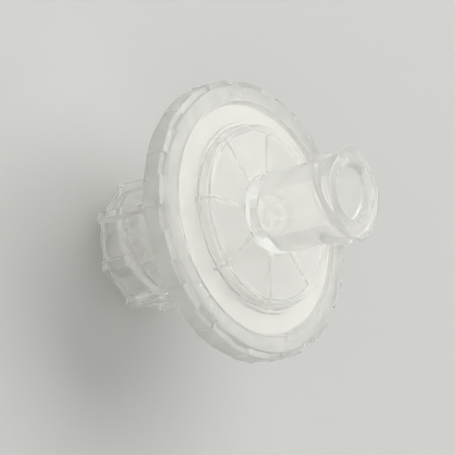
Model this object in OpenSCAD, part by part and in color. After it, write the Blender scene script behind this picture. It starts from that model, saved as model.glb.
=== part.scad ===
// Syringe filter. Two clear moulded halves clamp a filter membrane, and a moulded
// ring binds their edges. The inlet is a threaded luer socket on a raised drum. The
// outlet is a luer tip inside a ribbed locking collar.
// +Z runs along the flow axis from the outlet to the inlet, and z = 0 is the end of
// the outlet tip. Millimetres.

/* [Membrane] */
// Diameter of the membrane
membrane_d = 19.2; // [18.4:0.1:19.5]
// Thickness of the membrane
membrane_t = 0.2; // [0.1:0.05:0.4]

/* [Clamped halves] */
// Width of the flat face outside the membrane, up to the ring's lips
face_w = 0.3; // [0.2:0.05:0.8]
// Width of the edge that the ring grips, past the face
edge_w = 0.7; // [0.4:0.05:1]
// Thickness of the inlet half where it presses on the membrane
inlet_t = 0.8; // [0.7:0.05:1.4]
// Thickness of the outlet half under the membrane
outlet_t = 1.5; // [1.2:0.05:2.2]
// Diameter of the flow chamber, where it meets the membrane
chamber_d = 14.8; // [13:0.1:16]
// Inward slope of the chamber's wall, over its height
chamber_slope = 0.35; // [0.1:0.05:0.6]

/* [Drums] */
// Wall between the flow chamber and the side of the drum
drum_wall = 0.65; // [0.5:0.05:1]
// Inward slope of a drum's side, over its height
drum_slope = 0.55; // [0.2:0.05:0.7]
// Rise of the inlet drum above the face
drum_h = 1.3; // [0.8:0.05:1.6]
// Thickness of the inlet drum's roof
roof_t = 0.65; // [0.4:0.05:0.9]
// Depth of the outlet drum below the outlet half
back_drum_h = 1.2; // [0.6:0.05:2]
// Radius of the rounded edge of a drum
drum_round = 0.2; // [0.1:0.05:0.3]

/* [Flow ribs and support grid] */
// Number of ribs under the inlet drum's roof
flow_ribs = 8; // [4:1:16]
// Thickness of a flow rib
flow_rib_w = 0.35; // [0.3:0.05:0.7]
// Room left between a flow rib and the membrane
flow_rib_room = 0.35; // [0.2:0.05:0.5]
// Radius at which the flow ribs begin
flow_rib_start = 1.9; // [1.6:0.1:3]
// Number of ring grooves in the membrane's bed
bed_rings = 4; // [2:1:4]
// Distance from one ring groove to the next
bed_pitch = 1.4; // [1.2:0.05:1.5]
// Number of channels that run to the middle of the bed
bed_channels = 8; // [4:1:12]
// Width of a groove or channel in the bed
groove_w = 0.7; // [0.4:0.05:0.9]
// Depth of a groove or channel in the bed
groove_depth = 0.6; // [0.3:0.05:0.9]

/* [Inlet hub] */
// Outer diameter of the hub
hub_d = 6.7; // [6.2:0.1:6.8]
// Height of the hub above the drum
hub_h = 8.7; // [8.6:0.1:12]
// Diameter of the luer socket at its mouth
socket_d = 4.3; // [4.2:0.05:4.4]
// Depth of the luer socket
socket_depth = 8.2; // [7.5:0.1:8.4]
// Width of the chamfer inside the mouth
mouth_chamfer = 0.35; // [0.1:0.05:0.5]
// Radius of the round where the hub meets the drum
hub_fillet = 0.4; // [0.2:0.05:0.6]
// Diameter of the hole from the socket to the chamber
inlet_hole_d = 2; // [1.2:0.1:2.6]

/* [Luer taper and lock thread] */
// Change of a luer cone's diameter for each millimetre of its length
luer_taper = 0.06; // [0.05:0.005:0.07]
// Outer diameter of the hub's thread
thread_d = 7.7; // [7.4:0.05:8]
// Rise of the thread in one turn
thread_lead = 5; // [4.5:0.1:5.5]
// Height of the threaded stretch below the hub's mouth
thread_h = 3.1; // [2.5:0.1:5.5]
// Width of a thread ridge at its top
ridge_top_w = 0.4; // [0.3:0.05:0.7]
// Width of the ridge's flank that bears the load, away from the mouth
load_flank_w = 0.2; // [0.1:0.05:0.35]
// Width of the ridge's other flank, on the side of the mouth
lead_flank_w = 0.45; // [0.3:0.05:0.6]
// Angle about the hub at which the thread meets the mouth
thread_turn = 10; // [0:1:359]

/* [Outlet tip] */
// Diameter of the luer tip at its end
tip_d = 3.96; // [3.9:0.01:4]
// Length of the tip past the end of the collar
tip_out = 2.1; // [1.5:0.1:3]
// Width of the chamfer round the end of the tip
tip_chamfer = 0.2; // [0.05:0.05:0.3]
// Diameter of the outlet passage
outlet_hole_d = 2.1; // [1.2:0.1:2.6]

/* [Locking collar] */
// Outer diameter of the collar between its ribs
collar_d = 10.2; // [9.6:0.1:11.5]
// Inner diameter of the collar
collar_bore_d = 8.1; // [8:0.05:8.6]
// Height of the collar below the outlet drum
collar_h = 9.3; // [8.8:0.1:12]
// Depth of the space between the tip and the collar
collar_depth = 8.4; // [7.5:0.1:8.6]
// Number of grip ribs round the collar
collar_ribs = 8; // [4:1:16]
// Thickness of a grip rib
collar_rib_w = 0.9; // [0.5:0.05:1.2]
// Height of a grip rib above the collar
collar_rib_h = 0.55; // [0.3:0.05:0.9]
// Turn of the outlet half against the inlet half
outlet_turn = -17; // [-45:1:45]
// Inner diameter of the collar's thread
collar_thread_d = 7.1; // [7:0.05:7.4]
// Height of the threaded stretch inside the collar
collar_thread_h = 5; // [3:0.1:5.5]

/* [Ring] */
// Wall of the ring round the edges of the halves
ring_wall = 1; // [0.7:0.05:1.5]
// Thickness of the ring's two lips
lip_t = 0.4; // [0.2:0.05:0.5]
// Depth of the ring's front below the face
ring_drop = 0.1; // [0:0.01:0.15]
// Width of the shoulder round the ring's front
shoulder_w = 0.45; // [0.3:0.05:0.6]
// Depth of the shoulder between the pads
shoulder_depth = 0.65; // [0.5:0.05:0.9]
// Depth of the shoulder on the pads
pad_depth = 0.33; // [0.1:0.01:0.45]
// Number of pads round the ring
pads = 16; // [8:1:24]
// Width of the notch between two pads
notch_w = 2.1; // [1:0.1:2.5]
// Height of a pad above the ring's wall
pad_h = 0.1; // [0.05:0.01:0.2]
// Width of the chamfer round the ring's back
back_chamfer = 0.3; // [0.1:0.05:0.5]

/* [Fit] */
// Gap between pieces that press on each other
seat_gap = 0.02; // [0.01:0.01:0.05]

/* [Hidden] */
$fn = 96;

// Overlap of joined forms and overshoot of cuts
sink = 0.3;
// Angle covered by one facet of a thread ridge
ridge_step = 15;
// Angle over which a thread ridge fades into the wall
fade_angle = 45;
// Depth in the wall at which a ridge starts
end_sink = 0.12;
// Points along a rounded corner
round_steps = 6;
// Opposite starts of the lock thread
thread_starts = 2;

// Radii
membrane_r = membrane_d / 2;
face_r = membrane_r + face_w;
edge_r = face_r + edge_w;
chamber_r = chamber_d / 2;
roof_r = chamber_r - chamber_slope;
drum_r = chamber_r + drum_wall;
hub_r = hub_d / 2;
tip_r = tip_d / 2;
collar_r = collar_d / 2;
collar_bore_r = collar_bore_d / 2;
ring_r = edge_r + seat_gap + ring_wall;
lip_r = ring_r - shoulder_w;

// Heights along the flow axis
z_collar = tip_out;
z_gap_floor = z_collar + collar_depth;
z_back = z_collar + collar_h;
z_plate = z_back + back_drum_h;
z_bed = z_plate + outlet_t;
z_membrane = z_bed + seat_gap;
z_under = z_membrane + membrane_t + seat_gap;
z_face = z_under + inlet_t;
z_roof = z_face + drum_h - roof_t;
z_drum = z_face + drum_h;
z_mouth = z_drum + hub_h;
z_socket = z_mouth - socket_depth;
z_ring_front = z_face - ring_drop;

// Radius of a luer cone at a distance from the end where its radius is r
function luer_r(r, distance) = r + distance * luer_taper / 2;

// Points of an arc about a centre in the half section
function arc(centre, r, from, to) =
    [for (i = [0:round_steps])
        let (a = from + (to - from) * i / round_steps)
        centre + r * [cos(a), sin(a)]];

// Share of its full height that a thread ridge has, at an angle from each end
function fade(from_start, from_end) =
    min(1, from_start / fade_angle, from_end / fade_angle);

// One start of a lock thread. It climbs from z_low, and its foot is sunk in the wall
// at foot_r. It rises out of the wall at its low end, and goes back in at its high
// end unless the wall ends there. The mouth that it serves is above it or below it.
module thread_ridge(foot_r, top_r, z_low, angle_low, turn, mouth_above) {
    out = sign(top_r - foot_r);
    height = abs(top_r - foot_r);
    steps = ceil(turn / ridge_step);
    root_r = foot_r - out * sink;
    function root_w(flank_w) =
        ridge_top_w / 2 + flank_w + min(1, flank_w / height) * sink;
    root_low = root_w(mouth_above ? load_flank_w : lead_flank_w);
    root_high = root_w(mouth_above ? lead_flank_w : load_flank_w);
    function section(a) =
        let (
            share = fade(a, mouth_above ? fade_angle : turn - a),
            r = foot_r + out * (share * (height + end_sink) - end_sink),
            z = z_low + thread_lead * a / 360,
            w = ridge_top_w / 2
        )
        [for (p = [[root_r, -root_low], [r, -w], [r, w], [root_r, root_high]])
            [p[0] * cos(angle_low + a), p[0] * sin(angle_low + a), z + p[1]]];
    rings = [for (i = [0:steps]) section(turn * i / steps)];
    n = len(rings[0]);
    sides = [for (i = [0:steps - 1], j = [0:n - 1], half = [0, 1])
        let (
            a = i * n + j,
            b = i * n + (j + 1) % n,
            c = a + n,
            d = b + n
        )
        half == 0 ? [a, c, b] : [b, c, d]];
    caps = [[for (j = [0:n - 1]) j], [for (j = [n - 1:-1:0]) steps * n + j]];
    faces = concat(sides, caps);
    polyhedron([for (ring = rings) for (p = ring) p],
        out < 0 ? faces : [for (f = faces) [for (k = [len(f) - 1:-1:0]) f[k]]]);
}

// Flow chamber in the inlet half, around its ribs
module inlet_chamber() {
    difference() {
        rotate_extrude()
            polygon([
                [0, z_under - sink],
                [chamber_r, z_under - sink],
                [chamber_r, z_under],
                [roof_r, z_roof],
                [0, z_roof]
            ]);
        for (i = [0:flow_ribs - 1])
            rotate(i * 360 / flow_ribs)
                translate([flow_rib_start, -flow_rib_w / 2,
                           z_under - seat_gap + flow_rib_room])
                    cube([chamber_r, flow_rib_w, drum_h + inlet_t]);
    }
}

// Luer socket with its chamfered mouth, and the hole down to the chamber
module inlet_passage() {
    socket_r = socket_d / 2;
    chamfer_r = luer_r(socket_r, -mouth_chamfer);
    translate([0, 0, z_socket])
        cylinder(r1 = luer_r(socket_r, -socket_depth), r2 = socket_r,
                 h = socket_depth);
    translate([0, 0, z_mouth - mouth_chamfer])
        cylinder(r1 = chamfer_r, r2 = chamfer_r + mouth_chamfer + sink,
                 h = mouth_chamfer + sink);
    translate([0, 0, z_roof - sink])
        cylinder(d = inlet_hole_d, h = z_socket - z_roof + 2 * sink);
}

// Both starts of the hub's thread, cut off level with the mouth
module hub_thread() {
    turn = 360 * thread_h / thread_lead;
    run_out = 360 * (ridge_top_w / 2 + load_flank_w) / thread_lead;
    intersection() {
        for (i = [0:thread_starts - 1])
            thread_ridge(hub_r, thread_d / 2, z_mouth - thread_h,
                thread_turn + i * 360 / thread_starts - turn, turn + run_out, true);
        cylinder(r = thread_d, h = z_mouth);
    }
}

module inlet_housing() {
    drum_top_r = drum_r - drum_slope;
    color([0.84, 0.87, 0.87, 0.55])
        difference() {
            union() {
                rotate_extrude()
                    polygon(concat(
                        [[0, z_under], [edge_r, z_under],
                         [edge_r, z_ring_front - lip_t - seat_gap],
                         [face_r, z_ring_front - lip_t - seat_gap],
                         [face_r, z_face], [drum_r, z_face]],
                        arc([drum_top_r - drum_round, z_drum - drum_round],
                            drum_round, atan(drum_slope / drum_h), 90),
                        arc([hub_r + hub_fillet, z_drum + hub_fillet],
                            hub_fillet, 270, 180),
                        [[hub_r, z_mouth], [0, z_mouth]]
                    ));
                hub_thread();
            }
            inlet_chamber();
            inlet_passage();
        }
}

// Ring grooves and channels in the membrane's bed, and the funnel in its middle
module bed_grooves() {
    first_r = chamber_r - groove_w / 2 - (bed_rings - 1) * bed_pitch;
    for (i = [0:bed_rings - 1])
        rotate_extrude()
            translate([first_r + i * bed_pitch - groove_w / 2, z_bed - groove_depth])
                square([groove_w, groove_depth + sink]);
    for (i = [0:bed_channels - 1])
        rotate(i * 360 / bed_channels)
            translate([0, -groove_w / 2, z_bed - groove_depth])
                cube([chamber_r - groove_w / 2, groove_w, groove_depth + sink]);
    translate([0, 0, z_bed - groove_depth])
        cylinder(r1 = outlet_hole_d / 2, r2 = first_r, h = groove_depth);
}

// Outlet half without its tip: the plate, the drum and the collar with grip ribs
module outlet_shell() {
    drum_low_r = drum_r - drum_slope;
    difference() {
        union() {
            rotate_extrude()
                polygon(concat(
                    [[0, z_under - seat_gap], [edge_r, z_under - seat_gap],
                     [edge_r, z_plate + lip_t + seat_gap],
                     [face_r, z_plate + lip_t + seat_gap],
                     [face_r, z_plate], [drum_r, z_plate]],
                    arc([drum_low_r - drum_round, z_back + drum_round],
                        drum_round, -atan(drum_slope / back_drum_h), -90),
                    [[collar_r, z_back], [collar_r, z_collar], [0, z_collar]]
                ));
            for (i = [0:collar_ribs - 1])
                rotate(i * 360 / collar_ribs)
                    translate([collar_r - sink, -collar_rib_w / 2, z_collar])
                        cube([sink + collar_rib_h, collar_rib_w, collar_h + sink]);
        }
        translate([0, 0, z_collar - sink])
            cylinder(r = collar_bore_r, h = collar_depth + sink);
        translate([0, 0, z_bed])
            cylinder(r = membrane_r + seat_gap, h = inlet_t);
    }
}

// Luer tip, rooted in the floor of the collar
module luer_tip() {
    root_z = z_gap_floor + sink;
    cylinder(r1 = tip_r - tip_chamfer, r2 = luer_r(tip_r, tip_chamfer),
             h = tip_chamfer);
    translate([0, 0, tip_chamfer])
        cylinder(r1 = luer_r(tip_r, tip_chamfer), r2 = luer_r(tip_r, root_z),
                 h = root_z - tip_chamfer);
}

module outlet_housing() {
    turn = 360 * collar_thread_h / thread_lead;
    color([0.84, 0.87, 0.87, 0.55])
        rotate(outlet_turn)
            difference() {
                union() {
                    outlet_shell();
                    luer_tip();
                    for (i = [0:thread_starts - 1])
                        thread_ridge(collar_bore_r, collar_thread_d / 2,
                            z_collar + ridge_top_w / 2 + lead_flank_w,
                            i * 360 / thread_starts, turn, false);
                }
                bed_grooves();
                translate([0, 0, -sink])
                    cylinder(d = outlet_hole_d, h = z_bed + sink);
            }
}

module membrane() {
    color([0.96, 0.96, 0.95])
        translate([0, 0, z_membrane])
            cylinder(r = membrane_r, h = membrane_t);
}

// Pads that stand out between the notches round the ring
module grip_pads() {
    pad_angle = 360 / pads - notch_w / ring_r * 180 / PI;
    z_low = z_plate + back_chamfer;
    for (i = [0:pads - 1])
        rotate(i * 360 / pads - pad_angle / 2)
            rotate_extrude(angle = pad_angle)
                translate([lip_r - sink, z_low])
                    square([shoulder_w + sink + pad_h,
                            z_ring_front - pad_depth - z_low]);
}

module seal_ring() {
    bore_r = face_r + seat_gap;
    groove_r = edge_r + seat_gap;
    color([0.8, 0.83, 0.83, 0.6]) {
        rotate_extrude()
            polygon([
                [bore_r, z_plate],
                [ring_r - back_chamfer, z_plate],
                [ring_r, z_plate + back_chamfer],
                [ring_r, z_ring_front - shoulder_depth],
                [lip_r, z_ring_front - shoulder_depth],
                [lip_r, z_ring_front],
                [bore_r, z_ring_front],
                [bore_r, z_ring_front - lip_t],
                [groove_r, z_ring_front - lip_t],
                [groove_r, z_plate + lip_t],
                [bore_r, z_plate + lip_t]
            ]);
        grip_pads();
    }
}

inlet_housing();
outlet_housing();
membrane();
seal_ring();
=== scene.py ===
import math

import bmesh
import bpy
from mathutils import Matrix, Vector


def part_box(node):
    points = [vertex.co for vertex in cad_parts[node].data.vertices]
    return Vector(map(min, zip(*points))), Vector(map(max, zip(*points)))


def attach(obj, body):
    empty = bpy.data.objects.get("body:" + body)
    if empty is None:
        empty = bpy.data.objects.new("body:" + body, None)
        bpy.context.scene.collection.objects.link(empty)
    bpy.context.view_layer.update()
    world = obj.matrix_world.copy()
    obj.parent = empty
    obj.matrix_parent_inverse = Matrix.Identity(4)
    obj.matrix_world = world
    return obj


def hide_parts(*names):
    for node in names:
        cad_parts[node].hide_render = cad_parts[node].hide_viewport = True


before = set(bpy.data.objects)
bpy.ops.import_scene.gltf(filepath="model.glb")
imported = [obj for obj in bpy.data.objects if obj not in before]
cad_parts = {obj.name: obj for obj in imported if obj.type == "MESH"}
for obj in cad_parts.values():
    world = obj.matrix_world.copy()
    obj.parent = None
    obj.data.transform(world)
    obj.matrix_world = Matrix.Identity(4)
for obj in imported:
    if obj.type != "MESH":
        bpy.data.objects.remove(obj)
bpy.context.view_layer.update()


# ---------------------------------------------------------------------------
# Membrane. A thin white disc of cast polymer foam, punched from a sheet. It
# lies loose in its recess and is held only by the two halves that clamp it.
# ---------------------------------------------------------------------------
MM = 0.001


class Value:
    """One output of a node. Arithmetic on it adds the Math nodes."""

    def __init__(self, tree, socket):
        self.tree = tree
        self.socket = socket

    def _math(self, operation, *operands):
        node = self.tree.nodes.new("ShaderNodeMath")
        node.operation = operation
        for slot, operand in zip(node.inputs, operands):
            if isinstance(operand, Value):
                self.tree.links.new(operand.socket, slot)
            else:
                slot.default_value = operand
        return Value(self.tree, node.outputs[0])

    def __add__(self, other):
        return self._math("ADD", self, other)

    def __sub__(self, other):
        return self._math("SUBTRACT", self, other)

    def __mul__(self, other):
        return self._math("MULTIPLY", self, other)

    def __truediv__(self, other):
        return self._math("DIVIDE", self, other)

    def __rsub__(self, other):
        return self._math("SUBTRACT", other, self)

    def __rtruediv__(self, other):
        return self._math("DIVIDE", other, self)

    __radd__ = __add__
    __rmul__ = __mul__


class Graph:
    """A node tree that is written as expressions."""

    def __init__(self, tree):
        self.tree = tree

    def add(self, kind, settings=None, sockets=None, output=0):
        """Adds a node, applies its settings, then fills its sockets."""
        node = self.tree.nodes.new(kind)
        for name, setting in (settings or {}).items():
            if name == "stops":
                ramp = node.color_ramp.elements
                while len(ramp) < len(setting):
                    ramp.new(0.5)
                for stop, (place, grey) in zip(ramp, setting):
                    stop.position = place
                    stop.color = (grey, grey, grey, 1)
            else:
                setattr(node, name, setting)
        for name, given in (sockets or {}).items():
            if isinstance(name, int):
                slot = node.inputs[name]
            else:
                slot = next(s for s in node.inputs if s.name == name and s.enabled)
            for item in given if isinstance(given, list) else [given]:
                if isinstance(item, Value):
                    self.tree.links.new(item.socket, slot)
                else:
                    slot.default_value = item
        if not node.outputs:
            return None
        if isinstance(output, int):
            return Value(self.tree, node.outputs[output])
        chosen = next(s for s in node.outputs if s.name == output and s.enabled)
        return Value(self.tree, chosen)


def material_graph(name):
    """A new material with an empty tree, and the graph that fills it."""
    material = bpy.data.materials.new(name)
    material.use_nodes = True
    material.node_tree.nodes.clear()
    return material, Graph(material.node_tree)


def turned_mesh(name, outline, columns, closed=True):
    """A body turned about the flow axis from an outline of (radius, height) in
    millimetres. An outline that isn't closed starts and ends on the axis."""
    bm = bmesh.new()
    rings = []
    for radius, height in outline:
        if radius == 0:
            rings.append([bm.verts.new((0, 0, height * MM))] * columns)
            continue
        ring = []
        for column in range(columns):
            turn = math.tau * column / columns
            across, along = radius * math.cos(turn), radius * math.sin(turn)
            ring.append(bm.verts.new((across * MM, along * MM, height * MM)))
        rings.append(ring)
    pairs = list(zip(rings, rings[1:] + rings[:1] if closed else rings[1:]))
    for low, high in pairs:
        for column in range(columns):
            following = (column + 1) % columns
            corners = [low[column], low[following], high[following], high[column]]
            corners = list(dict.fromkeys(corners))
            bm.faces.new(corners)
    bmesh.ops.recalc_face_normals(bm, faces=bm.faces)
    if bm.calc_volume(signed=True) < 0:
        bmesh.ops.reverse_faces(bm, faces=bm.faces)
    mesh = bpy.data.meshes.new(name)
    bm.to_mesh(mesh)
    bm.free()
    return mesh


def eased(corners, steps=4, hold=0.05, closed=True):
    """An outline whose corners (radius, height, rounding) are rounded off. Two
    points close beside each round keep the flats flat under smooth shading."""
    points = []
    count = len(corners)
    for index, (radius, height, rounding) in enumerate(corners):
        here = Vector((radius, height))
        if rounding == 0 or (not closed and index in (0, count - 1)):
            points.append(here)
            continue
        before = Vector(corners[index - 1][:2]) - here
        after = Vector(corners[(index + 1) % count][:2]) - here
        half = before.angle(after) / 2
        reach = rounding / math.tan(half)
        start, end = before.normalized() * reach, after.normalized() * reach
        middle = (before.normalized() + after.normalized()).normalized()
        centre = middle * rounding / math.sin(half)
        if before.length > reach + 2 * hold:
            points.append(here + start + before.normalized() * hold)
        for step in range(steps + 1):
            spoke = (start - centre).slerp(end - centre, step / steps)
            points.append(here + centre + spoke.normalized() * rounding)
        if after.length > reach + 2 * hold:
            points.append(here + end + after.normalized() * hold)
    return [tuple(point) for point in points]


def finished_piece(name, mesh, material, sharp=32):
    """A piece of the object from a finished mesh, smooth up to the sharp angle."""
    mesh.materials.clear()
    mesh.materials.append(material)
    mesh.shade_smooth()
    mesh.set_sharp_from_angle(angle=math.radians(sharp))
    piece = bpy.data.objects.new(name, mesh)
    bpy.context.collection.objects.link(piece)
    return piece


membrane_low, membrane_high = (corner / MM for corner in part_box("membrane"))
membrane_radius = membrane_high.x
punched_edge = 0.05

foam, graph = material_graph("membrane_foam")
place = graph.add("ShaderNodeTexCoord", output="Object")
pores = graph.add(
    "ShaderNodeTexNoise", sockets={"Vector": place, "Scale": 9000.0, "Detail": 3.0}
)
cloud = graph.add(
    "ShaderNodeTexNoise", sockets={"Vector": place, "Scale": 420.0, "Detail": 2.0}
)
white = graph.add(
    "ShaderNodeMix",
    {"data_type": "RGBA"},
    {
        "Factor": cloud,
        "A": (0.675, 0.675, 0.659, 1),
        "B": (0.745, 0.745, 0.729, 1),
    },
    output="Result",
)
relief = graph.add(
    "ShaderNodeBump", sockets={"Height": pores, "Strength": 0.25, "Distance": 0.00002}
)
shade = graph.add(
    "ShaderNodeBsdfPrincipled",
    sockets={
        "Base Color": white,
        "Roughness": 0.75 + 0.2 * cloud,
        "Specular IOR Level": 0.3,
        "Normal": relief,
    },
)
graph.add("ShaderNodeOutputMaterial", sockets={"Surface": shade})

membrane = finished_piece(
    "membrane_disc",
    turned_mesh(
        "membrane_disc",
        eased(
            [
                (0, membrane_low.z, 0),
                (membrane_radius, membrane_low.z, punched_edge),
                (membrane_radius, membrane_high.z, punched_edge),
                (0, membrane_high.z, 0),
            ],
            steps=3,
            closed=False,
        ),
        192,
        closed=False,
    ),
    foam,
)
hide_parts("membrane")
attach(membrane, "root")


# ---------------------------------------------------------------------------
# Inlet half. A clear moulding in one piece: the flange that presses on the
# membrane, the raised drum with its flow ribs inside, and the hub that holds
# the luer socket and carries two starts of lock thread.
# ---------------------------------------------------------------------------
def clear_plastic(name, body, milk, milk_share, roughness, matt_radius=0.0, matt_level=0.0):
    """Clear moulding plastic with a little haze in it, and faint flow marks. The
    faces nearer the axis than matt_radius and lower than matt_level are matt."""
    material, graph = material_graph(name)
    place = graph.add("ShaderNodeTexCoord", output="Object")
    flow = graph.add(
        "ShaderNodeTexNoise",
        sockets={"Vector": place, "Scale": 260.0, "Detail": 2.0, "Distortion": 0.6},
    )
    grain = graph.add(
        "ShaderNodeTexNoise", sockets={"Vector": place, "Scale": 2600.0, "Detail": 2.0}
    )
    relief = graph.add(
        "ShaderNodeBump",
        sockets={"Height": flow + 0.12 * grain, "Strength": 0.05, "Distance": 0.0001},
    )
    off_axis = graph.add(
        "ShaderNodeVectorMath", {"operation": "MULTIPLY"}, {0: place, 1: (1.0, 1.0, 0.0)}
    )
    radius = graph.add(
        "ShaderNodeVectorMath", {"operation": "LENGTH"}, {0: off_axis}, output="Value"
    )
    level = graph.add("ShaderNodeSeparateXYZ", sockets={"Vector": place}, output="Z")
    less_than = {"operation": "LESS_THAN"}
    near = graph.add("ShaderNodeMath", less_than, {0: radius, 1: matt_radius * MM})
    low = graph.add("ShaderNodeMath", less_than, {0: level, 1: matt_level * MM})
    clear = graph.add(
        "ShaderNodeBsdfPrincipled",
        sockets={
            "Base Color": body,
            "Roughness": roughness + 0.06 * grain + 0.4 * near * low,
            "IOR": 1.5,
            "Transmission Weight": 1.0,
            "Normal": relief,
        },
    )
    front = graph.add("ShaderNodeBsdfDiffuse", sockets={"Color": milk, "Normal": relief})
    through = graph.add("ShaderNodeBsdfTranslucent", sockets={"Color": milk, "Normal": relief})
    haze = graph.add("ShaderNodeMixShader", sockets={0: 0.5, 1: front, 2: through})
    both = graph.add(
        "ShaderNodeMixShader",
        sockets={0: milk_share * (0.7 + 0.6 * flow), 1: clear, 2: haze},
    )
    graph.add("ShaderNodeOutputMaterial", sockets={"Surface": both})
    return material


def with_inputs(name, sizes):
    """A geometry tree with one named number input for each size. It gives the
    graph, the mesh that goes in, and the inputs by name."""
    tree = bpy.data.node_groups.new(name, "GeometryNodeTree")
    tree.interface.new_socket("Geometry", in_out="OUTPUT", socket_type="NodeSocketGeometry")
    tree.interface.new_socket("Geometry", in_out="INPUT", socket_type="NodeSocketGeometry")
    for size, number in sizes.items():
        kind = "NodeSocketInt" if isinstance(number, int) else "NodeSocketFloat"
        tree.interface.new_socket(size, in_out="INPUT", socket_type=kind)
    entry = tree.nodes.new("NodeGroupInput")
    named = {s.name: Value(tree, s) for s in entry.outputs if s.name}
    return Graph(tree), named.pop("Geometry"), named


def grown(mesh, graph, geometry, material, sizes):
    """The mesh after its geometry tree has run with these sizes."""
    real = graph.add("GeometryNodeRealizeInstances", sockets={"Geometry": geometry})
    done = graph.add(
        "GeometryNodeSetMaterial", sockets={"Geometry": real, "Material": material}
    )
    graph.add("NodeGroupOutput", sockets={"Geometry": done})
    carrier = bpy.data.objects.new(mesh.name, mesh)
    bpy.context.collection.objects.link(carrier)
    modifier = carrier.modifiers.new("shape", "NODES")
    modifier.node_group = graph.tree
    for item in graph.tree.interface.items_tree:
        if item.in_out == "INPUT" and item.name in sizes:
            modifier[item.identifier] = sizes[item.name]
    depsgraph = bpy.context.evaluated_depsgraph_get()
    result = bpy.data.meshes.new_from_object(carrier.evaluated_get(depsgraph))
    carrier.modifiers.remove(modifier)
    bpy.data.objects.remove(carrier)
    result.name = mesh.name
    return result


def spaced_round(graph, shape, count, first_turn=0.0):
    """Copies of a shape, evenly spaced in turn about the flow axis."""
    centre = graph.add(
        "GeometryNodeMeshCircle", sockets={"Vertices": count, "Radius": 0.0}
    )
    index = graph.add("GeometryNodeInputIndex")
    turn = graph.add(
        "ShaderNodeCombineXYZ", sockets={"Z": index * (math.tau / count) + first_turn}
    )
    facing = graph.add("FunctionNodeEulerToRotation", sockets={"Euler": turn})
    copies = graph.add(
        "GeometryNodeInstanceOnPoints",
        sockets={"Points": centre, "Instance": shape, "Rotation": facing},
    )
    return graph.add("GeometryNodeRealizeInstances", sockets={"Geometry": copies})


def bar(graph, path, width, height, rounding):
    """A bar with rounded long edges, swept along a path and capped."""
    corners = graph.add(
        "GeometryNodeCurvePrimitiveQuadrilateral", sockets={"Width": width, "Height": height}
    )
    rounds = graph.add(
        "GeometryNodeFilletCurve",
        {"mode": "POLY"},
        {"Curve": corners, "Count": 3, "Radius": rounding, "Limit Radius": True},
    )
    return graph.add(
        "GeometryNodeCurveToMesh",
        sockets={"Curve": path, "Profile Curve": rounds, "Fill Caps": True},
    )


def level_point(graph, x, z):
    """A place in the upright plane that holds the flow axis and the X axis."""
    return graph.add("ShaderNodeCombineXYZ", sockets={"X": x, "Z": z})


def joined(graph, *solids):
    """Overlapping solids made one, with no walls left between them."""
    return graph.add(
        "GeometryNodeMeshBoolean",
        {"operation": "UNION", "solver": "MANIFOLD"},
        {1: list(solids)},
        output="Mesh",
    )


def threaded(graph, mesh, size, outward):
    """The mesh with a lock thread raised from its turned wall. The ridges follow
    a helix, and sink into the wall at the ends of the threaded stretch."""
    where = graph.add("GeometryNodeInputPosition")
    x, y, z = (
        graph.add("ShaderNodeSeparateXYZ", sockets={"Vector": where}, output=axis)
        for axis in "XYZ"
    )
    turn = graph.add("ShaderNodeMath", {"operation": "ARCTAN2"}, {0: y, 1: x})
    climb = z - size["Crest height"] - size["Lead"] * (turn - size["Crest turn"]) / math.tau
    pitch = size["Lead"] / size["Starts"]
    nearest = graph.add("ShaderNodeMath", {"operation": "ROUND"}, {0: climb / pitch})
    offset = climb - nearest * pitch
    edge = size["Top width"] / 2
    below = graph.add(
        "ShaderNodeMapRange",
        {"interpolation_type": "SMOOTHSTEP"},
        {"Value": offset * -1.0, "From Min": edge + size["Lower flank"], "From Max": edge},
    )
    above = graph.add(
        "ShaderNodeMapRange",
        {"interpolation_type": "SMOOTHSTEP"},
        {"Value": offset, "From Min": edge + size["Upper flank"], "From Max": edge},
    )
    centre_line = z - offset
    rise = graph.add(
        "ShaderNodeMapRange",
        sockets={
            "Value": centre_line,
            "From Min": size["Low end"],
            "From Max": size["Low end"] + size["Fade"],
        },
    )
    fall = graph.add(
        "ShaderNodeMapRange",
        sockets={
            "Value": centre_line,
            "From Min": size["High end"],
            "From Max": size["High end"] - size["Fade"],
        },
    )
    level = graph.add("ShaderNodeCombineXYZ", sockets={"X": x, "Y": y})
    radius = graph.add(
        "ShaderNodeVectorMath", {"operation": "LENGTH"}, {0: level}, output="Value"
    )
    outwards = graph.add("ShaderNodeVectorMath", {"operation": "NORMALIZE"}, {0: level})
    wall_slack = 0.3 * MM
    on_wall = graph.add(
        "ShaderNodeMath",
        {"operation": "COMPARE"},
        {0: radius, 1: size["Wall radius"], 2: wall_slack},
    )
    in_reach = graph.add(
        "ShaderNodeMath", {"operation": "GREATER_THAN"}, {0: z, 1: size["Reach"]}
    )
    height = size["Ridge height"] * below * above * rise * fall * on_wall * in_reach
    move = graph.add(
        "ShaderNodeVectorMath",
        {"operation": "SCALE"},
        {0: outwards, "Scale": height if outward else height * -1.0},
    )
    return graph.add("GeometryNodeSetPosition", sockets={"Geometry": mesh, "Offset": move})


def wall_rows(radius, low, high, spacing):
    """Outline points set closely up a wall, for a thread to be raised from."""
    count = round((high - low) / spacing)
    return [(radius, low + (high - low) * row / count) for row in range(count + 1)]


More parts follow.
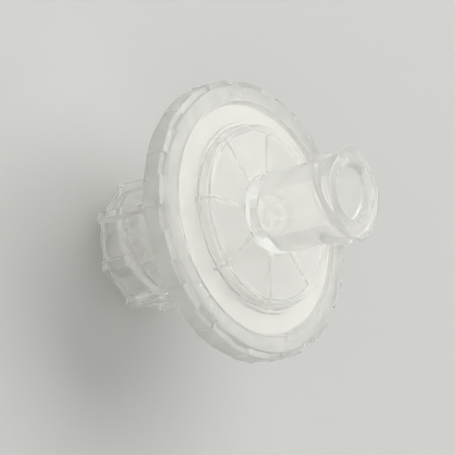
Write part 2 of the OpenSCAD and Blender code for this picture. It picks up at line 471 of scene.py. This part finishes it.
inlet_low, inlet_high = (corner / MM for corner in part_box("inlet_housing"))
ring_low, ring_high = (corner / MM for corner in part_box("seal_ring"))
under, mouth, edge_radius = inlet_low.z, inlet_high.z, inlet_high.x
lip_seat = 0.42
face = ring_high.z + 0.1
face_radius = 9.9
roof, roof_radius, chamber_radius = face + 0.65, 7.05, 7.4
drum_top, drum_radius, drum_top_radius = face + 1.3, 8.05, 7.5
ledge_low, ledge_high, ledge_radius = face + 0.25, face + 0.28, drum_radius - 0.28
hub_radius, hub_hole_radius = 3.35, 1.0
socket_radius, socket_floor_radius, socket_floor = 2.14, 1.904, mouth - 8.2
mouth_radius, mouth_chamfer = 2.5, 0.35
rib_room, rib_sink = 0.33, 0.1
rib_low, rib_high = under + rib_room, roof + rib_sink

inlet_plastic = clear_plastic(
    "inlet_plastic",
    body=(0.99, 0.99, 0.98, 1),
    milk=(0.97, 0.965, 0.945, 1),
    milk_share=0.22,
    roughness=0.1,
    matt_radius=7.2,
    matt_level=roof + 0.05,
)
inlet_outline = eased(
    [
        (hub_hole_radius, roof, 0.1),
        (roof_radius, roof, 0.25),
        (chamber_radius, under, 0.04),
        (edge_radius, under, 0.05),
        (edge_radius, ring_high.z - lip_seat, 0.05),
        (face_radius, ring_high.z - lip_seat, 0.05),
        (face_radius, face, 0.08),
        (drum_radius, face, 0.05),
        (drum_radius - 0.04, ledge_low, 0.04),
        (ledge_radius, ledge_high, 0.04),
        (drum_top_radius, drum_top, 0.2),
        (hub_radius, drum_top, 0.15),
        (hub_radius, mouth, 0.2),
        (mouth_radius, mouth, 0.06),
        (socket_radius, mouth - mouth_chamfer, 0.05),
        (socket_floor_radius, socket_floor, 0.3),
        (hub_hole_radius, socket_floor, 0.08),
    ]
)
thread_foot, thread_head = mouth - 4.2, mouth - 0.3
wall_at = next(
    i
    for i, (radius, height) in enumerate(inlet_outline)
    if height > thread_head and radius > hub_radius - 0.05
)
inlet_outline[wall_at:wall_at] = wall_rows(hub_radius, thread_foot, thread_head, 0.08)

inlet_sizes = {
    "Ribs": 8,
    "Rib thickness": 0.35 * MM,
    "Rib height": (rib_high - rib_low) * MM,
    "Rib start": 1.9 * MM,
    "Rib end": 7.45 * MM,
    "Rib level": (rib_high + rib_low) / 2 * MM,
    "Starts": 2,
    "Lead": 5 * MM,
    "Crest height": mouth * MM,
    "Crest turn": math.radians(10),
    "Top width": 0.4 * MM,
    "Lower flank": 0.22 * MM,
    "Upper flank": 0.5 * MM,
    "Low end": (mouth - 3.1) * MM,
    "High end": (mouth + 3) * MM,
    "Fade": 0.5 * MM,
    "Wall radius": hub_radius * MM,
    "Ridge height": 0.5 * MM,
    "Reach": (drum_top + 1) * MM,
}
graph, solid, size = with_inputs("inlet_half", inlet_sizes)
with_thread = threaded(graph, solid, size, outward=True)
rib_path = graph.add(
    "GeometryNodeCurvePrimitiveLine",
    sockets={
        "Start": level_point(graph, size["Rib start"], size["Rib level"]),
        "End": level_point(graph, size["Rib end"], size["Rib level"]),
    },
)
rib = bar(graph, rib_path, size["Rib thickness"], size["Rib height"], 0.08 * MM)
flow_ribs = spaced_round(graph, rib, size["Ribs"])
inlet_mesh = grown(
    turned_mesh("inlet_half", inlet_outline, 256),
    graph,
    joined(graph, with_thread, flow_ribs),
    inlet_plastic,
    inlet_sizes,
)
inlet_half = finished_piece("inlet_half", inlet_mesh, inlet_plastic)
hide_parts("inlet_housing")
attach(inlet_half, "root")


# ---------------------------------------------------------------------------
# Outlet half. A clear moulding in one piece: the plate whose grooved bed
# carries the membrane, a shallow drum, and a luer tip inside a locking collar
# with grip ribs outside and thread inside.
# ---------------------------------------------------------------------------
outlet_top = (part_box("outlet_housing")[1] / MM).z
outlet_turn = math.radians(-17)
plate_under, bed = ring_low.z, membrane_low.z - 0.02
bed_rim_radius, bed_hollow = 2.85, 0.6
recess_radius = membrane_radius + 0.02
collar_end, gap_floor, drum_low = 2.1, 10.5, 11.4
collar_radius, collar_bore = 5.1, 4.05
tip_radius, tip_root_radius, tip_chamfer, passage_radius = 1.98, 2.295, 0.2, 1.05

outlet_plastic = clear_plastic(
    "outlet_plastic",
    body=(0.99, 0.99, 0.98, 1),
    milk=(0.97, 0.965, 0.945, 1),
    milk_share=0.22,
    roughness=0.1,
    matt_radius=6.0,
    matt_level=collar_end + 0.15,
)
outlet_outline = eased(
    [
        (passage_radius, 0, 0.05),
        (tip_radius - tip_chamfer, 0, 0.06),
        (tip_radius, tip_chamfer, 0.06),
        (tip_root_radius, gap_floor, 0.25),
        (collar_bore, gap_floor, 0.25),
        (collar_bore, collar_end, 0.1),
        (collar_radius, collar_end, 0.1),
        (collar_radius, drum_low, 0.25),
        (drum_top_radius, drum_low, 0.2),
        (drum_radius, plate_under, 0.1),
        (face_radius, plate_under, 0.08),
        (face_radius, plate_under + lip_seat, 0.05),
        (edge_radius, plate_under + lip_seat, 0.05),
        (edge_radius, outlet_top, 0.05),
        (recess_radius, outlet_top, 0.04),
        (recess_radius, bed, 0.04),
        (bed_rim_radius, bed, 0.04),
        (passage_radius, bed - bed_hollow, 0.1),
    ]
)
thread_foot, thread_head = collar_end + 0.3, gap_floor - 1.2
wall_at = next(
    i
    for i, (radius, height) in enumerate(outlet_outline)
    if abs(radius - collar_bore) < 0.01 and height < gap_floor - 1
)
outlet_outline[wall_at:wall_at] = wall_rows(collar_bore, thread_foot, thread_head, 0.09)[::-1]

outlet_sizes = {
    "Collar ribs": 8,
    "Collar rib thickness": 0.9 * MM,
    "Collar rib reach": 0.85 * MM,
    "Collar rib place": (collar_radius + 0.125) * MM,
    "Collar rib low": (collar_end + 0.02) * MM,
    "Collar rib high": (drum_low + 0.1) * MM,
    "Channels": 8,
    "Groove width": 0.7 * MM,
    "Groove depth": 0.6 * MM,
    "Bed level": bed * MM,
    "Channel start": 0.2 * MM,
    "Channel end": 7.05 * MM,
    "Ring pitch": 1.4 * MM,
    "First ring": bed_rim_radius * MM,
    "Starts": 2,
    "Lead": 5 * MM,
    "Crest height": (collar_end + 0.65) * MM,
    "Crest turn": outlet_turn,
    "Top width": 0.4 * MM,
    "Lower flank": 0.5 * MM,
    "Upper flank": 0.22 * MM,
    "Low end": (collar_end + 0.65) * MM,
    "High end": (collar_end + 5.65) * MM,
    "Fade": 0.62 * MM,
    "Wall radius": collar_bore * MM,
    "Ridge height": 0.5 * MM,
    "Reach": 1 * MM,
    "Turn": outlet_turn,
}
graph, solid, size = with_inputs("outlet_half", outlet_sizes)
with_thread = threaded(graph, solid, size, outward=False)
rib_path = graph.add(
    "GeometryNodeCurvePrimitiveLine",
    sockets={
        "Start": level_point(graph, size["Collar rib place"], size["Collar rib low"]),
        "End": level_point(graph, size["Collar rib place"], size["Collar rib high"]),
    },
)
rib = bar(graph, rib_path, size["Collar rib reach"], size["Collar rib thickness"], 0.12 * MM)
grip_ribs = spaced_round(graph, rib, size["Collar ribs"], size["Turn"])
channel_path = graph.add(
    "GeometryNodeCurvePrimitiveLine",
    sockets={
        "Start": level_point(graph, size["Channel start"], size["Bed level"]),
        "End": level_point(graph, size["Channel end"], size["Bed level"]),
    },
)
groove_section = size["Groove width"], size["Groove depth"] * 2, 0.1 * MM
channel = bar(graph, channel_path, *groove_section)
channels = spaced_round(graph, channel, size["Channels"], size["Turn"])
unit_ring = graph.add(
    "GeometryNodeCurvePrimitiveCircle", {"mode": "RADIUS"}, {"Resolution": 160, "Radius": 1.0}
)
ring_grooves, groove_rings = 4, []
for ring_number in range(ring_grooves):
    radius = size["First ring"] + size["Ring pitch"] * ring_number
    scale = graph.add("ShaderNodeCombineXYZ", sockets={"X": radius, "Y": radius, "Z": 1.0})
    ring_path = graph.add(
        "GeometryNodeTransform",
        sockets={
            "Geometry": unit_ring,
            "Translation": level_point(graph, 0.0, size["Bed level"]),
            "Scale": scale,
        },
    )
    groove_rings.append(bar(graph, ring_path, *groove_section))
grooved = graph.add(
    "GeometryNodeMeshBoolean",
    {"operation": "DIFFERENCE", "solver": "MANIFOLD"},
    {0: joined(graph, with_thread, grip_ribs), 1: [channels, *groove_rings]},
    output="Mesh",
)
outlet_mesh = grown(
    turned_mesh("outlet_half", outlet_outline, 256),
    graph,
    grooved,
    outlet_plastic,
    outlet_sizes,
)
outlet_half = finished_piece("outlet_half", outlet_mesh, outlet_plastic)
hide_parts("outlet_housing")
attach(outlet_half, "root")


# ---------------------------------------------------------------------------
# Seal ring. Slightly cloudy plastic, moulded round the edges of both halves to
# lock them together. Sixteen pads stand out between the notches of its rim.
# ---------------------------------------------------------------------------
ring_plastic = clear_plastic(
    "ring_plastic",
    body=(0.98, 0.98, 0.97, 1),
    milk=(0.93, 0.93, 0.91, 1),
    milk_share=0.28,
    roughness=0.14,
)
ring_bottom, ring_top = ring_low.z, ring_high.z
ring_radius, shoulder_radius, shoulder = 11.62, 11.17, ring_top - 0.65
groove_radius, bore_radius = edge_radius + 0.02, face_radius + 0.02
back_chamfer, lip = 0.3, 0.4
ring_outline = eased(
    [
        (bore_radius, ring_bottom, 0.06),
        (ring_radius - back_chamfer, ring_bottom, 0.06),
        (ring_radius, ring_bottom + back_chamfer, 0.06),
        (ring_radius, shoulder, 0.08),
        (shoulder_radius, shoulder, 0.06),
        (shoulder_radius, ring_top, 0.1),
        (bore_radius, ring_top, 0.06),
        (bore_radius, ring_top - lip, 0.05),
        (groove_radius, ring_top - lip, 0.05),
        (groove_radius, ring_bottom + lip, 0.05),
        (bore_radius, ring_bottom + lip, 0.05),
    ]
)
notch_width = 2.1
pad_low, pad_high = ring_bottom + back_chamfer, ring_top - 0.33
ring_sizes = {
    "Pads": 16,
    "Notch angle": notch_width / ring_radius,
    "Pad place": (shoulder_radius + 0.125) * MM,
    "Pad thickness": 0.85 * MM,
    "Pad height": (pad_high - pad_low) * MM,
    "Pad level": (pad_high + pad_low) / 2 * MM,
}
graph, solid, size = with_inputs("seal_ring", ring_sizes)
pad_sweep = math.tau / size["Pads"] - size["Notch angle"]
pad_path = graph.add(
    "GeometryNodeCurveArc",
    {"mode": "RADIUS"},
    {
        "Resolution": 10,
        "Radius": size["Pad place"],
        "Start Angle": pad_sweep * -0.5,
        "Sweep Angle": pad_sweep,
    },
)
pad = bar(graph, pad_path, size["Pad thickness"], size["Pad height"], 0.08 * MM)
raised = graph.add(
    "GeometryNodeTransform",
    sockets={"Geometry": pad, "Translation": level_point(graph, 0.0, size["Pad level"])},
)
pads = spaced_round(graph, raised, size["Pads"])
ring_mesh = grown(
    turned_mesh("seal_ring", ring_outline, 288),
    graph,
    joined(graph, solid, pads),
    ring_plastic,
    ring_sizes,
)
seal_ring = finished_piece("seal_band", ring_mesh, ring_plastic)
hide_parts("seal_ring")
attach(seal_ring, "root")


# ---------------------------------------------------------------------------
# Camera, floor and light. The filter stands on its outlet tip on a plain pale
# table, under three wide soft lamps and an even sky.
# ---------------------------------------------------------------------------
azimuth, elevation, roll = (math.radians(degrees) for degrees in (21, 38.434, 75.391))
distance, aim = 234.37 * MM, Vector((0.715, -1.531, 13.016)) * MM
back = Vector(
    (
        math.sin(azimuth) * math.cos(elevation),
        -math.cos(azimuth) * math.cos(elevation),
        math.sin(elevation),
    )
)
lens = bpy.data.cameras.new("camera")
lens.lens, lens.sensor_width = 226.48, 36
lens.clip_start, lens.clip_end = 0.01, 20
camera = bpy.data.objects.new("camera", lens)
upright = (-back).to_track_quat("-Z", "Y").to_matrix()
camera.matrix_world = (
    Matrix.Translation(aim + back * distance)
    @ (upright @ Matrix.Rotation(roll, 3, "Z")).to_4x4()
)
bpy.context.collection.objects.link(camera)
bpy.context.scene.camera = camera

table, graph = material_graph("table_top")
place = graph.add("ShaderNodeTexCoord", output="Object")
mottle = graph.add("ShaderNodeTexNoise", sockets={"Vector": place, "Scale": 14.0, "Detail": 2.0})
pale = graph.add(
    "ShaderNodeMix",
    {"data_type": "RGBA"},
    {"Factor": mottle, "A": (0.63, 0.633, 0.62, 1), "B": (0.66, 0.663, 0.65, 1)},
    output="Result",
)
shade = graph.add(
    "ShaderNodeBsdfPrincipled",
    sockets={"Base Color": pale, "Roughness": 0.7, "Specular IOR Level": 0.2},
)
graph.add("ShaderNodeOutputMaterial", sockets={"Surface": shade})
table_radius = 1.5
top = bmesh.new()
bmesh.ops.create_circle(top, cap_ends=True, segments=64, radius=table_radius)
table_mesh = bpy.data.meshes.new("table_top")
top.to_mesh(table_mesh)
top.free()
table_mesh.materials.append(table)
floor = bpy.data.objects.new("table_top", table_mesh)
bpy.context.collection.objects.link(floor)

sky = bpy.data.worlds.new("sky")
sky.use_nodes = True
sky.node_tree.nodes.clear()
graph = Graph(sky.node_tree)
seen_straight = graph.add("ShaderNodeLightPath", output="Is Camera Ray")
mirrored = graph.add("ShaderNodeLightPath", output="Is Glossy Ray")
seen_through = graph.add("ShaderNodeLightPath", output="Is Transmission Ray")
as_backdrop = graph.add(
    "ShaderNodeMath",
    {"operation": "ADD", "use_clamp": True},
    {0: seen_straight + mirrored, 1: seen_through},
)
lighting_strength, backdrop_strength = 0.26, 0.65
glow = graph.add(
    "ShaderNodeBackground",
    sockets={
        "Color": (1.0, 1.0, 0.985, 1),
        "Strength": lighting_strength + (backdrop_strength - lighting_strength) * as_backdrop,
    },
)
graph.add("ShaderNodeOutputWorld", sockets={"Surface": glow})
bpy.context.scene.world = sky

lit_point = Vector((0, 0, 10)) * MM
for lamp_name, width, watts, away, lamp_way in (
    ("soft_lamp", 0.66, 1.98, 0.5, Vector((-0.575, 0.187, 1.0))),
    ("fill_lamp", 0.8, 1.35, 0.6, Vector((0.6, -1.1, 1.0))),
    ("back_lamp", 0.48, 0.5, 0.6, Vector((0.18, 1.42, 1.0))),
):
    lamp_way.normalize()
    lamp_data = bpy.data.lights.new(lamp_name, "AREA")
    lamp_data.shape, lamp_data.size, lamp_data.energy = "DISK", width, watts
    lamp_data.color = (1.0, 0.995, 0.985)
    lamp = bpy.data.objects.new(lamp_name, lamp_data)
    lamp.location = lit_point + lamp_way * away
    lamp.rotation_euler = lamp_way.to_track_quat("Z", "Y").to_euler()
    lamp.visible_camera = False
    bpy.context.collection.objects.link(lamp)

bpy.context.scene.view_settings.view_transform = "Standard"
light_paths = bpy.context.scene.cycles
light_paths.max_bounces = light_paths.transmission_bounces = 24
light_paths.diffuse_bounces = 10
light_paths.blur_glossy = 0.0
